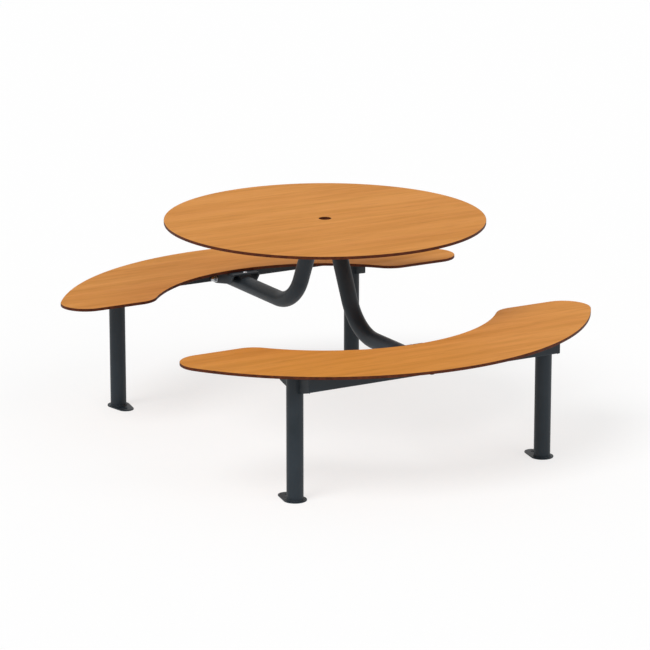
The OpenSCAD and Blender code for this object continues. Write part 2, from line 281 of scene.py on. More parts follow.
def plainMesh(obj, name):
    # The evaluated shape as a new mesh object at the origin, with nothing live on it
    bpy.context.view_layer.update()
    evaluated = obj.evaluated_get(bpy.context.evaluated_depsgraph_get())
    mesh = bpy.data.meshes.new_from_object(evaluated)
    mesh.transform(obj.matrix_world)
    mesh.name = name
    fresh = bpy.data.objects.new(name, mesh)
    scene.collection.objects.link(fresh)
    for material in [slot.material for slot in obj.material_slots if slot.material]:
        if material.name not in mesh.materials:
            mesh.materials.append(material)
    bpy.data.objects.remove(obj)
    return fresh


def cleanMesh(mesh):
    work = bmesh.new()
    work.from_mesh(mesh)
    bmesh.ops.remove_doubles(work, verts=work.verts, dist=mergeAt)
    bmesh.ops.recalc_face_normals(work, faces=work.faces)
    work.to_mesh(mesh)
    work.free()


def settleNormals(obj, angle):
    mesh = obj.data
    mesh.shade_smooth()
    mesh.set_sharp_from_angle(angle=math.radians(angle))
    weighted = obj.modifiers.new("weighted", "WEIGHTED_NORMAL")
    weighted.keep_sharp = True
    weighted.weight = normalWeight
    name = obj.name
    obj.name = name + "Draft"
    return plainMesh(obj, name)


def lift(x, y, z):
    return Matrix.Translation((x * mm, y * mm, z * mm))


def side(sideX, sideY):
    # From the corner at +X +Y to one of the four corners
    return Matrix.Diagonal((sideX, sideY, 1.0, 1.0))


corners = {
    "front_left": (-1, -1), "front_right": (1, -1),
    "back_left": (-1, 1), "back_right": (1, 1),
}
benches = {"front": Matrix.Rotation(math.pi, 4, "Z"), "back": Matrix.Identity(4)}
bothBenches = list(benches.values())
atOrigin = Matrix.Identity(4)

# Sheets stand up along X with their outline in Y and Z, or across Y with it in X and Z
alongX = Matrix(((0, 0, 1, 0), (1, 0, 0, 0), (0, 1, 0, 0), (0, 0, 0, 1)))
acrossY = Matrix.Rotation(math.pi / 2, 4, "X")
# Turned pieces point to +X, -X or +Y
toPlusX = Matrix.Rotation(math.pi / 2, 4, "Y")
toMinusX = Matrix.Rotation(-math.pi / 2, 4, "Y")
toPlusY = Matrix.Rotation(-math.pi / 2, 4, "X")


# Outlines

def arcPoints(cx, cy, radius, start, end, step):
    # Points along an arc between two angles in degrees, no further apart than step
    count = max(2, int(abs(math.radians(end - start)) * radius / step) + 1)
    angles = [math.radians(start + (end - start) * i / count) for i in range(count + 1)]
    return [(cx + radius * math.cos(a), cy + radius * math.sin(a)) for a in angles]


def circlePoints(cx, cy, radius, count):
    return [(cx + radius * math.cos(2 * math.pi * i / count),
             cy + radius * math.sin(2 * math.pi * i / count)) for i in range(count)]


def rectangle(left, low, right, high):
    return [(left, low), (right, low), (right, high), (left, high)]


def hexOutline(corner, turn=0.0):
    angles = [math.radians(60 * i + turn) for i in range(6)]
    return [(corner * math.cos(a), corner * math.sin(a)) for a in angles]


def filleted(points, radii, step=1.0):
    # A closed outline with each corner rounded by its own radius
    if not isinstance(radii, (list, tuple)):
        radii = [radii] * len(points)
    outline = []
    for i, (corner, radius) in enumerate(zip(points, radii)):
        spot = Vector(corner)
        before = Vector(points[i - 1]) - spot
        after = Vector(points[(i + 1) % len(points)]) - spot
        if radius <= 0:
            outline.append(tuple(spot))
            continue
        half = before.angle(after) / 2
        reach = radius / math.tan(half)
        centre = spot + (before.normalized() + after.normalized()).normalized() * radius / math.sin(half)
        first = spot + before.normalized() * reach - centre
        last = spot + after.normalized() * reach - centre
        count = max(2, int(first.angle(last) * radius / step) + 1)
        turn = first.angle_signed(last)
        for n in range(count + 1):
            outline.append(tuple(centre + Matrix.Rotation(-turn * n / count, 2) @ first))
    return outline


# Shapes from outlines and profiles

def sheetPiece(name, outlines, thick, edge, place, material, rounds=2):
    # A flat sheet cut to its outlines, with rounded edges, then put in place
    curve = bpy.data.curves.new(name, "CURVE")
    curve.dimensions = "2D"
    curve.fill_mode = "BOTH"
    curve.extrude = (thick / 2 - edge) * mm
    curve.bevel_depth = edge * mm
    curve.bevel_resolution = rounds
    curve.offset = -edge * mm
    for outline in outlines:
        spline = curve.splines.new("POLY")
        spline.points.add(len(outline) - 1)
        for point, (x, y) in zip(spline.points, outline):
            point.co = (x * mm, y * mm, 0.0, 1.0)
        spline.use_cyclic_u = True
    draft = bpy.data.objects.new(name + "Curve", curve)
    scene.collection.objects.link(draft)
    piece = plainMesh(draft, name)
    piece.data.transform(place @ lift(0, 0, thick / 2))
    piece.data.materials.clear()
    piece.data.materials.append(material)
    cleanMesh(piece.data)
    return piece


def turnedPiece(name, profile, place, material, sides=64):
    # A profile of radius and height turned once round the Z axis
    closed = all(r > 0 for r, z in profile)
    verts = [(r * x * mm, r * y * mm, z * mm) for x, y in circlePoints(0, 0, 1, sides) for r, z in profile]
    count = len(profile)
    faces = []
    for s in range(sides):
        for p in range(count if closed else count - 1):
            a, b = s * count + p, s * count + (p + 1) % count
            c, d = (s + 1) % sides * count + (p + 1) % count, (s + 1) % sides * count + p
            faces.append((a, d, c, b))
    mesh = bpy.data.meshes.new(name)
    mesh.from_pydata(verts, [], faces)
    mesh.transform(place)
    mesh.materials.append(material)
    cleanMesh(mesh)
    piece = bpy.data.objects.new(name, mesh)
    scene.collection.objects.link(piece)
    return piece


def rod(name, radius, length, place, sides=64):
    return turnedPiece(name, [(0, 0), (radius, 0), (radius, length), (0, length)], place, coat, sides)


def carve(piece, cutters, operation="DIFFERENCE"):
    for cutter in cutters:
        modifier = piece.modifiers.new("carve", "BOOLEAN")
        modifier.operation = operation
        modifier.solver = "EXACT"
        modifier.object = cutter
    name = piece.name
    piece.name = name + "Uncut"
    carved = plainMesh(piece, name)
    for cutter in cutters:
        bpy.data.objects.remove(cutter)
    return carved


def softenEdges(piece, width, angle=smoothBelow, segments=2):
    modifier = piece.modifiers.new("soften", "BEVEL")
    modifier.width = width * mm
    modifier.segments = segments
    modifier.limit_method = "ANGLE"
    modifier.angle_limit = math.radians(angle)
    modifier.use_clamp_overlap = True
    name = piece.name
    piece.name = name + "Sharp"
    return plainMesh(piece, name)


def gather(name, parts, material):
    # Copies of several meshes, each at its places, as one object at the origin
    work = bmesh.new()
    for part, places in parts:
        for place in places:
            copy = part.data.copy()
            copy.transform(place)
            if place.determinant() < 0:
                copy.flip_normals()
            work.from_mesh(copy)
            bpy.data.meshes.remove(copy)
    mesh = bpy.data.meshes.new(name)
    work.to_mesh(mesh)
    work.free()
    mesh.materials.append(material)
    for face in mesh.polygons:
        face.material_index = 0
    for part, places in parts:
        bpy.data.objects.remove(part)
    joined = bpy.data.objects.new(name, mesh)
    scene.collection.objects.link(joined)
    return settleNormals(joined, smoothBelow)


def placeEach(part, word, node, places):
    # A steel piece of its own at each named place
    for place, matrix in places.items():
        twin = bpy.data.objects.new(part.name + place, part.data.copy())
        scene.collection.objects.link(twin)
        name = word + "".join(bit.capitalize() for bit in place.split("_"))
        ready(gather(name, [(twin, [matrix])], coat), [node + place])
    bpy.data.objects.remove(part)


# Boards

board = {
    "thick": 10.0, "edge": 1.2, "edgeRounds": 3, "faceSlope": 0.97, "smoothBelow": 50.0,
    "tableRadius": 550.0, "tableTop": 755.0, "poleHole": 21.0, "tableSides": 288, "holeSides": 64,
    "seatTop": 450.0, "seatOuter": 911.0, "seatInner": 592.0, "seatEnd": 349.0,
    "tipRadius": 90.0, "innerCorner": 95.0, "arcStep": 6.0, "cornerStep": 4.0,
}


def benchOutline():
    # The right half from the outer arc to the inner one, then its mirror image
    ro, ri, end = board["seatOuter"], board["seatInner"], board["seatEnd"]
    rt, rc = board["tipRadius"], board["innerCorner"]
    arcStep, cornerStep = board["arcStep"], board["cornerStep"]
    tipY, inY = end + rt, end + rc
    tipX = math.sqrt((ro - rt) ** 2 - tipY ** 2)
    inX = math.sqrt((ri + rc) ** 2 - inY ** 2)
    tipAngle = math.degrees(math.atan2(tipY, tipX))
    inAngle = math.degrees(math.atan2(inY, inX))
    half = arcPoints(0, 0, ro, 90, tipAngle, arcStep)[1:]
    half += arcPoints(tipX, tipY, rt, tipAngle, -90, cornerStep)[1:]
    half += arcPoints(inX, inY, rc, 270, 180 + inAngle, cornerStep)
    half += arcPoints(0, 0, ri, inAngle, 90, arcStep)[1:-1]
    return half + [(-x, y) for x, y in reversed(half)]


def makeBoard(name, outlines, place, node):
    piece = sheetPiece(name, outlines, board["thick"], board["edge"], place, decor, board["edgeRounds"])
    # Level faces keep the decor; the rim and the hole show the core
    piece.data.materials.append(core)
    for face in piece.data.polygons:
        if abs(face.normal.z) < board["faceSlope"]:
            face.material_index = 1
    ready(settleNormals(piece, board["smoothBelow"]), [node])


def makeBoards():
    rim = circlePoints(0, 0, board["tableRadius"], board["tableSides"])
    hole = circlePoints(0, 0, board["poleHole"], board["holeSides"])
    makeBoard("tabletopBoard", [rim, hole], lift(0, 0, board["tableTop"] - board["thick"]), "tabletop")
    for bench, turn in benches.items():
        place = turn @ lift(0, 0, board["seatTop"] - board["thick"])
        makeBoard(bench + "BenchBoard", [benchOutline()], place, "seat_" + bench)


makeBoards()
print("boards ready")


# Legs: a tube slotted for its fin, a foot plate, the fin and the plate under the board

tube = {"radius": 28.0, "wall": 3.0, "sides": 96}
leg = {
    "x": 480.0, "y": 635.0, "top": 434.0, "finLength": 188.0, "finMiddle": 68.0, "finEnd": 50.0,
    "finCorners": [0.8, 4, 12, 12, 4, 0.8], "plate": 6.0, "edge": 0.7, "tubeEdge": 0.5,
    "seatPlateWidth": 60.0, "seatPlateCorner": 5.0, "slotAbove": 5.0,
}
leg["finIn"] = leg["y"] - leg["finLength"] / 2
leg["finOut"] = leg["y"] + leg["finLength"] / 2
foot = {
    "thick": 4.0, "bigRadius": 39.0, "smallRadius": 28.0, "reach": 57.0,
    "holeRadius": 6.0, "holeSides": 40, "edge": 0.8, "step": 2.0,
}
boardScrew = {
    "radius": 3.0, "headRadius": 4.8, "headHeight": 3.6, "headTaper": 0.8, "headRound": 1.1,
    "roundEnd": 345, "roundStep": 0.3, "headLip": 0.5, "pointLength": 2.0, "pointRadius": 0.4,
    "socketRadius": 2.4, "socketFrom": 1.4, "sides": 40, "boardSkin": 2.0,
    "gap": 0.3, "holeSides": 24, "besideX": 18.0, "besideY": 60.0, "seed": 11,
}


def plateScrewPlaces():
    return [(leg["x"] + dx, leg["y"] + dy) for dx in (-boardScrew["besideX"], boardScrew["besideX"])
            for dy in (-boardScrew["besideY"], boardScrew["besideY"])]


def screwHoles(places):
    radius = boardScrew["radius"] + boardScrew["gap"]
    return [circlePoints(x, y, radius, boardScrew["holeSides"]) for x, y in places]


def legPipe():
    r, x, y, top, plate = tube["radius"], leg["x"], leg["y"], leg["top"], leg["plate"]
    ring = rectangle(r - tube["wall"], foot["thick"], r, top)
    pipe = turnedPiece("legPipe", ring, lift(x, y, 0), coat, tube["sides"])
    opening = rectangle(y - 2 * r, top - leg["finMiddle"], y + 2 * r, top + leg["slotAbove"])
    slot = sheetPiece("legSlot", [opening], plate, 0.0, lift(x - plate / 2, 0, 0) @ alongX, coat)
    return softenEdges(carve(pipe, [slot]), leg["tubeEdge"])


def footBase():
    big, small, reach, step = foot["bigRadius"], foot["smallRadius"], foot["reach"], foot["step"]
    start = math.degrees(math.acos((big - small) / reach)) - 90
    outline = arcPoints(0, 0, big, start, 180 - start, step)
    outline += arcPoints(0, -reach, small, 180 - start, 360 + start, step)
    hole = circlePoints(0, -reach, foot["holeRadius"], foot["holeSides"])
    place = lift(leg["x"], leg["y"], 0)
    return sheetPiece("footBase", [outline, hole], foot["thick"], foot["edge"], place, coat)


def finSheet():
    r, y, top = tube["radius"], leg["y"], leg["top"]
    low, middle = top - leg["finEnd"], top - leg["finMiddle"]
    outline = [(leg["finIn"], top), (leg["finIn"], low), (y - r, middle),
               (y + r, middle), (leg["finOut"], low), (leg["finOut"], top)]
    return sheetPiece("finSheet", [filleted(outline, leg["finCorners"])], leg["plate"], leg["edge"],
                      lift(leg["x"] - leg["plate"] / 2, 0, 0) @ alongX, coat)


def seatPlateSheet():
    half = leg["seatPlateWidth"] / 2
    outline = rectangle(leg["x"] - half, leg["finIn"], leg["x"] + half, leg["finOut"])
    outlines = [filleted(outline, leg["seatPlateCorner"])] + screwHoles(plateScrewPlaces())
    return sheetPiece("seatPlateSheet", outlines, leg["plate"], leg["edge"], lift(0, 0, leg["top"]), coat)


def makeLegs():
    places = {corner: side(*signs) for corner, signs in corners.items()}
    placeEach(legPipe(), "legTube", "leg_", places)
    placeEach(footBase(), "footPlate", "foot_plate_", places)
    placeEach(finSheet(), "fin", "fin_", places)
    placeEach(seatPlateSheet(), "seatPlate", "seat_plate_", places)


makeLegs()
print("legs ready")


# Rails: a rounded rectangular tube between the fins of a bench

rail = {
    "height": 50.0, "width": 20.0, "wall": 2.0, "corner": 3.5, "cornerStep": 0.6,
    "edge": 0.3, "edgeRounds": 1,
}
rail["y"] = leg["finOut"] - rail["width"]
rail["low"] = leg["top"] - rail["height"]


def makeRails():
    wall, corner, step = rail["wall"], rail["corner"], rail["cornerStep"]
    inY, outY, low, high = rail["y"], leg["finOut"], rail["low"], leg["top"]
    outer = rectangle(inY, low, outY, high)
    inner = rectangle(inY + wall, low + wall, outY - wall, high - wall)
    outlines = [filleted(outer, corner, step), filleted(inner, corner - wall, step)]
    halfLength = leg["x"] - leg["plate"] / 2
    bar = sheetPiece("railBar", outlines, 2 * halfLength, rail["edge"],
                     lift(-halfLength, 0, 0) @ alongX, coat, rail["edgeRounds"])
    placeEach(bar, "rail", "rail_", benches)


makeRails()
print("rails ready")


# Helpers for Geometry Nodes

def newTree(name, inputs):
    tree = bpy.data.node_groups.new(name, "GeometryNodeTree")
    tree.interface.new_socket("Geometry", in_out="INPUT", socket_type="NodeSocketGeometry")
    for label, kind in inputs:
        tree.interface.new_socket(label, in_out="INPUT", socket_type="NodeSocket" + kind)
    tree.interface.new_socket("Geometry", in_out="OUTPUT", socket_type="NodeSocketGeometry")
    return tree, addNode(tree, "NodeGroupInput").outputs


def finishTree(tree, given, geometry):
    real = addNode(tree, "GeometryNodeRealizeInstances", {"Geometry": geometry}).outputs["Geometry"]
    painted = addNode(tree, "GeometryNodeSetMaterial", {"Geometry": real, "Material": given["Material"]})
    addNode(tree, "NodeGroupOutput", {"Geometry": painted.outputs["Geometry"]})
    return tree


def shapedBy(tree, name, points, edges, values):
    # Runs a node tree on a mesh of points and edges, in mm, and keeps the plain result
    mesh = bpy.data.meshes.new(name + "Path")
    mesh.from_pydata([tuple(v * mm for v in point) for point in points], edges, [])
    draft = bpy.data.objects.new(name + "Draft", mesh)
    scene.collection.objects.link(draft)
    modifier = draft.modifiers.new(tree.name, "NODES")
    modifier.node_group = tree
    for item in tree.interface.items_tree:
        if item.in_out == "INPUT" and item.name in values:
            modifier[item.identifier] = values[item.name]
    return plainMesh(draft, name)


# Arms: one bent tube from each bench to the hub plate

arm = {
    "rise": 64.5, "bendRadius": 185.0, "holeGap": 2.0, "padThick": 6.0, "endGap": 5.0,
    "bendSteps": 28, "past": 60.0,
}
plug = {
    "flange": 3.0, "round": 1.5, "roundStep": 0.4, "flat": 6.0, "boss": 8.0, "wall": 2.0, "floor": 1.0,
    "gap": 0.2, "sides": 72,
}
hub = {
    "radius": 230.0, "thick": 6.0, "edge": 0.8, "under": 739.0, "sides": 192,
    "screws": 8, "screwInset": 19.2,
}
armLean = math.radians(arm["rise"])
arm["height"] = leg["top"] - arm["padThick"] - tube["radius"]
arm["outerEnd"] = rail["y"] - arm["endGap"] - plug["flange"]
arm["topY"] = board["poleHole"] + arm["holeGap"] + tube["radius"] / math.sin(armLean)
arm["cornerY"] = arm["topY"] + (hub["under"] - arm["height"]) / math.tan(armLean)


def bentTubeTree():
    tree, given = newTree("bentTube", [
        ("Tube Radius", "Float"), ("Wall", "Float"), ("Bend Radius", "Float"), ("Bend Steps", "Int"),
        ("Sides", "Int"), ("Cut Height", "Float"), ("Run", "Vector"), ("Material", "Material")])
    path = addNode(tree, "GeometryNodeMeshToCurve", {"Mesh": given["Geometry"]}).outputs["Curve"]
    bend = addNode(tree, "GeometryNodeFilletCurve", {
        "Curve": path, "Radius": given["Bend Radius"], "Count": given["Bend Steps"]}, mode="POLY")
    bore = maths(tree, "SUBTRACT", given["Tube Radius"], given["Wall"])
    ring = addNode(tree, "GeometryNodeCurvePrimitiveCircle", {"Resolution": given["Sides"], "Radius": bore})
    inside = addNode(tree, "GeometryNodeCurveToMesh", {
        "Curve": bend.outputs["Curve"], "Profile Curve": ring.outputs["Curve"]}).outputs["Mesh"]
    outside = addNode(tree, "GeometryNodeExtrudeMesh", {
        "Mesh": inside, "Offset Scale": given["Wall"], "Individual": False}).outputs["Mesh"]
    flipped = addNode(tree, "GeometryNodeFlipFaces", {"Mesh": inside}).outputs["Mesh"]
    both = addNode(tree, "GeometryNodeJoinGeometry", {"Geometry": [outside, flipped]}).outputs["Geometry"]
    whole = addNode(tree, "GeometryNodeMergeByDistance", {"Geometry": both, "Distance": mergeAt})
    # What stands above the hub plate slides back along the tube, down to the plate
    place = addNode(tree, "GeometryNodeInputPosition").outputs["Position"]
    height = addNode(tree, "ShaderNodeSeparateXYZ", {0: place}).outputs["Z"]
    over = maths(tree, "SUBTRACT", height, given["Cut Height"])
    above = addNode(tree, "FunctionNodeCompare", {"A": over}, data_type="FLOAT", operation="GREATER_THAN")
    climb = addNode(tree, "ShaderNodeSeparateXYZ", {0: given["Run"]}).outputs["Z"]
    back = maths(tree, "MULTIPLY", maths(tree, "DIVIDE", over, climb), -1.0)
    shift = addNode(tree, "ShaderNodeVectorMath", {0: given["Run"], "Scale": back}, operation="SCALE")
    trim = addNode(tree, "GeometryNodeSetPosition", {
        "Geometry": whole.outputs["Geometry"], "Selection": above.outputs["Result"],
        "Offset": shift.outputs["Vector"]})
    smooth = addNode(tree, "GeometryNodeSetShadeSmooth", {"Geometry": trim.outputs["Geometry"]})
    return finishTree(tree, given, smooth.outputs["Geometry"])


def makeArms():
    run = Vector((0.0, -math.cos(armLean), math.sin(armLean)))
    top = Vector((0.0, arm["topY"], hub["under"])) + run * arm["past"]
    points = [(0.0, arm["outerEnd"], arm["height"]), (0.0, arm["cornerY"], arm["height"]), tuple(top)]
    values = {
        "Tube Radius": tube["radius"] * mm, "Wall": tube["wall"] * mm, "Bend Radius": arm["bendRadius"] * mm,
        "Bend Steps": arm["bendSteps"], "Sides": tube["sides"], "Cut Height": hub["under"] * mm,
        "Run": tuple(run), "Material": coat,
    }
    bent = shapedBy(bentTubeTree(), "armTube", points, [(0, 1), (1, 2)], values)
    cleanMesh(bent.data)
    placeEach(bent, "arm", "arm_", benches)


def makeArmPlugs():
    # A moulded plug closes the outer end of each arm
    r, flange, corner, boss = tube["radius"], plug["flange"], plug["round"], plug["boss"]
    bore = r - tube["wall"] - plug["gap"]
    inside = bore - plug["wall"]
    profile = [(0, flange), (r - plug["flat"], flange)]
    profile += arcPoints(r - corner, flange - corner, corner, 90, 0, plug["roundStep"])
    profile += [(r, 0), (bore, 0), (bore, -boss)]
    profile += [(inside, -boss), (inside, -plug["floor"]), (0, -plug["floor"])]
    place = lift(0, arm["outerEnd"], arm["height"]) @ toPlusY
    piece = turnedPiece("armPlug", profile, place, rubber, plug["sides"])
    ready(gather("armPlugs", [(piece, bothBenches)], rubber), ["arm_plugs"])


makeArms()
makeArmPlugs()
print("arms ready")


# Hub plate under the tabletop

def hubScrewPlaces():
    ring = hub["radius"] - hub["screwInset"]
    step = 2 * math.pi / hub["screws"]
    return [(ring * math.cos((i + 0.5) * step), ring * math.sin((i + 0.5) * step))
            for i in range(hub["screws"])]


def makeHubPlate():
    outlines = [circlePoints(0, 0, hub["radius"], hub["sides"]),
                circlePoints(0, 0, board["poleHole"], board["holeSides"])] + screwHoles(hubScrewPlaces())
    disc = sheetPiece("hubDisc", outlines, hub["thick"], hub["edge"], lift(0, 0, hub["under"]), coat)
    ready(gather("hubPlate", [(disc, [atOrigin])], coat), ["hub_plate"])


makeHubPlate()
print("hub plate ready")


# Cradles: a folded plate that holds the outer end of an arm

cradle = {
    "width": 112.0, "reach": 34.0, "slant": 24.0, "noseHeight": 38.0, "boltBack": 26.0, "plate": 6.0,
    "foldRadius": 9.0, "foldStep": 0.8, "noseRadius": 7.0, "heelRadius": 18.0, "edge": 0.7,
    "past": 2.0, "cutBeside": 10.0, "cutAbove": 5.0, "skin": 0.05,
    "webScrewsIn": 26.0, "webScrewsOut": 45.0, "webScrewGap": 0.5,
}
cradle["inY"] = board["seatInner"] - cradle["reach"]
cradle["boltY"] = rail["y"] - cradle["boltBack"]
cradle["insideX"] = cradle["width"] / 2 - cradle["plate"]
cradle["top"] = board["seatTop"] - board["thick"]
bolt = {
    "radius": 6.0, "headRadius": 10.2, "headHeight": 6.6, "socketRadius": 5.1, "short": 1.0, "edge": 0.25,
    "gap": 0.3,
}
pad = {
    "length": 24.0, "width": 39.2, "deep": 7.0, "corner": 3.0, "edge": 0.6, "hollowEdge": 0.4,
    "boreLength": 60.0, "webBoreLength": 30.0, "screwRadius": 4.0, "screwEdge": 0.2, "headRadius": 7.2,
    "headHeight": 3.2, "socketShare": 0.45, "below": 8.0,
}
pad["y"] = cradle["inY"] + pad["length"] / 2


def webScrewPlaces():
    x = cradle["insideX"] - boardScrew["headRadius"] - cradle["webScrewGap"]
    ys = (board["seatInner"] + cradle["webScrewsIn"], rail["y"] - cradle["webScrewsOut"])
    return [(sideX * x, y) for sideX in (-1, 1) for y in ys]


def foldedPlate():
    # The folded section runs along Y, past both ends
    half, plate, past = cradle["width"] / 2, cradle["plate"], cradle["past"]
    top, under, low = cradle["top"], cradle["top"] - plate, rail["low"] - cradle["cutBeside"]
    fold = cradle["foldRadius"]
    section = [(-half, low), (-half + plate, low), (-half + plate, under), (half - plate, under),
               (half - plate, low), (half, low), (half, top), (-half, top)]
    section = filleted(section, [0, 0, fold - plate, fold - plate, 0, 0, fold, fold], cradle["foldStep"])
    return sheetPiece("cradleFold", [section], leg["finOut"] - cradle["inY"] + 2 * past, 0.0,
                      lift(0, leg["finOut"] + past, 0) @ acrossY, coat)


def makeCradles():
    half, inY, farY, beside = cradle["width"] / 2, cradle["inY"], leg["finOut"], cradle["cutBeside"]
    top, low, above = cradle["top"], rail["low"], cradle["cutAbove"]
    under, sideStart = top - cradle["plate"], lift(-half - beside, 0, 0)
    shape = [(inY, top + above), (inY, under), (inY + cradle["slant"], top - cradle["noseHeight"]),
             (cradle["boltY"], low), (rail["y"], low), (rail["y"], under + cradle["skin"]),
             (farY, under + cradle["skin"]), (farY, top + above)]
    shape = filleted(shape, [0, 0, cradle["noseRadius"], cradle["heelRadius"], 0, 0, 0, 0])
    shaper = sheetPiece("cradleShape", [shape], 2 * (half + beside), 0.0, sideStart @ alongX, coat)
    folded = carve(foldedPlate(), [shaper], "INTERSECT")
    across = rod("boltBore", bolt["radius"] + bolt["gap"], 2 * (half + beside),
                 lift(-half - beside, cradle["boltY"], arm["height"]) @ toPlusX)
    down = rod("padBore", pad["screwRadius"] + bolt["gap"], pad["webBoreLength"],
               lift(0, pad["y"], top - pad["webBoreLength"] / 2))
    folded = softenEdges(carve(folded, [across, down]), cradle["edge"])
    placeEach(folded, "cradle", "cradle_", benches)


# Bolts, washers and dome nuts of the cradles

# A button head draws in towards its crown, and its shank ends in a chamfer
button = {"crown": 0.85, "drawIn": 0.42, "steps": 10, "shankChamfer": 0.7, "socketFloor": 0.4}
# On the small pieces only edges that bend more than this are softened
hardAngle = 40.0


def socketHead(name, headRadius, headHeight, shankRadius, shankEnd, socketRadius, place):
    # A button head on the face at zero, its shank running down to shankEnd
    chamfer, crown = button["shankChamfer"], headHeight * button["crown"]
    profile = [(0, shankEnd), (shankRadius - chamfer, shankEnd), (shankRadius, shankEnd + chamfer),
               (shankRadius, 0.0), (headRadius, 0.0), (headRadius, headHeight - crown)]
    for i in range(1, button["steps"] + 1):
        a = math.radians(90 / button["steps"] * i)
        profile.append((headRadius - headRadius * button["drawIn"] * (1 - math.cos(a)),
                        headHeight - crown + crown * math.sin(a)))
    head = turnedPiece(name, profile + [(0, headHeight)], atOrigin, zinc)
    socket = sheetPiece(name + "Socket", [hexOutline(socketRadius)], headHeight, 0.0,
                        lift(0, 0, headHeight * button["socketFloor"]), zinc)
    head = carve(head, [socket])
    head.data.transform(place)
    return head


def boltPlace(direction, distance):
    return lift(0, cradle["boltY"], arm["height"]) @ direction @ lift(0, 0, distance)


def makeThroughBolts():
    face = cradle["width"] / 2 + washer["thick"]
    shankEnd = -2 * face - nut["height"] + bolt["short"]
    piece = socketHead("throughBolt", bolt["headRadius"], bolt["headHeight"], bolt["radius"], shankEnd,
                       bolt["socketRadius"], boltPlace(toPlusX, face))
    piece = softenEdges(piece, bolt["edge"], hardAngle)
    ready(gather("cradleBolts", [(piece, bothBenches)], zinc), ["cradle_bolts"])


washer = {"radius": 12.0, "thick": 2.5, "corners": [0.3, 0.5, 0.9, 0.4], "cornerStep": 0.3}


def makeWashers():
    ring = rectangle(bolt["radius"] + bolt["gap"], 0, washer["radius"], washer["thick"])
    ring = filleted(ring, washer["corners"], washer["cornerStep"])
    pieces = [(turnedPiece(name, ring, boltPlace(direction, cradle["width"] / 2), zinc), bothBenches)
              for name, direction in (("washerRight", toPlusX), ("washerLeft", toMinusX))]
    ready(gather("cradleWashers", pieces, zinc), ["cradle_washers"])


nut = {
    "across": 18.0, "height": 10.2, "chamfer": 0.9, "chamferHeight": 0.6, "topChamfer": 1.4,
    "topChamferHeight": 1.0, "domeRadius": 8.4, "domeFrom": 2.0, "domeLift": 1.0, "domeStep": 0.9,
    "hexTurn": 30, "boreBelow": 1.0, "edge": 0.3, "edgeAngle": 24.0, "sides": 96, "domeSides": 72,
}


def makeDomeNuts():
    high, corner = nut["height"], nut["across"] / 2 / math.cos(math.radians(30))
    domeR, domeZ = nut["domeRadius"], nut["height"] + nut["domeLift"]
    hexagon = sheetPiece("nutHex", [hexOutline(corner, nut["hexTurn"])], high, 0.0, atOrigin, zinc)
    outline = [(0, 0), (corner - nut["chamfer"], 0), (corner, nut["chamferHeight"]),
               (corner, high - nut["topChamferHeight"]), (corner - nut["topChamfer"], high), (0, high)]
    turned = turnedPiece("nutTurned", outline, atOrigin, zinc, nut["sides"])
    hexagon = carve(hexagon, [turned], "INTERSECT")
    dome = [(0, nut["domeFrom"]), (domeR, nut["domeFrom"])]
    dome += arcPoints(0, domeZ, domeR, 0, 90, nut["domeStep"])[:-1] + [(0, domeZ + domeR)]
    cap = turnedPiece("nutDome", dome, atOrigin, zinc, nut["domeSides"])
    piece = carve(hexagon, [cap], "UNION")
    bore = rod("nutBore", bolt["radius"], high, lift(0, 0, -nut["boreBelow"]))
    piece = softenEdges(carve(piece, [bore]), nut["edge"], nut["edgeAngle"])
    # The hexagon is turned once more, to lie as the solid does
    turn = Matrix.Rotation(math.radians(nut["hexTurn"]), 4, "Z")
    piece.data.transform(boltPlace(toMinusX, cradle["width"] / 2 + washer["thick"]) @ turn)
    ready(gather("cradleDomeNuts", [(piece, bothBenches)], zinc), ["cradle_dome_nuts"])


# Spacers and saddle pads, hollowed for the arm, and the saddle screws

hollow = {"gap": 0.2, "length": 120.0, "sides": 128}
spacer = {"radius": 11.0, "from": 0.8, "edge": 0.4}


def hollowRod(name, y):
    # Cuts the hollow for an arm, along Y
    place = lift(0, y + hollow["length"] / 2, arm["height"]) @ acrossY
    return rod(name, tube["radius"] + hollow["gap"], hollow["length"], place, hollow["sides"])


def makeSpacers():
    section = rectangle(bolt["radius"] + bolt["gap"], tube["radius"] * spacer["from"],
                        spacer["radius"], cradle["insideX"])
    sleeve = turnedPiece("spacerSleeve", section, boltPlace(toPlusX, 0), coat)
    sleeve = softenEdges(carve(sleeve, [hollowRod("tubeRod", cradle["boltY"])]), spacer["edge"])
    places = [turn @ side(sideX, 1) for turn in bothBenches for sideX in (1, -1)]
    ready(gather("cradleSpacers", [(sleeve, places)], coat), ["cradle_spacers"])


def makeSaddlePads():
    w, l, y, deep = pad["width"] / 2, pad["length"] / 2, pad["y"], arm["padThick"] + pad["deep"]
    outline = filleted(rectangle(-w, y - l, w, y + l), pad["corner"])
    block = sheetPiece("padBlock", [outline], deep, pad["edge"], lift(0, 0, leg["top"] - deep), rubber)
    screwRod = rod("screwRod", pad["screwRadius"] + bolt["gap"], pad["boreLength"],
                   lift(0, y, arm["height"]))
    block = carve(block, [hollowRod("saddleRod", y), screwRod])
    block = softenEdges(block, pad["hollowEdge"], hardAngle)
    ready(gather("saddlePads", [(block, bothBenches)], rubber), ["saddle_pads"])


def makeSaddleScrews():
    bottom = arm["height"] + tube["radius"] - tube["wall"] - pad["below"]
    screw = socketHead("saddleScrew", pad["headRadius"], pad["headHeight"], pad["screwRadius"],
                       bottom - cradle["top"], pad["headRadius"] * pad["socketShare"],
                       lift(0, pad["y"], cradle["top"]))
    screw = softenEdges(screw, pad["screwEdge"], hardAngle)
    ready(gather("saddleScrews", [(screw, bothBenches)], zinc), ["saddle_screws"])


makeCradles()
makeThroughBolts()
makeWashers()
makeDomeNuts()
makeSpacers()
makeSaddlePads()
makeSaddleScrews()
print("cradles ready")


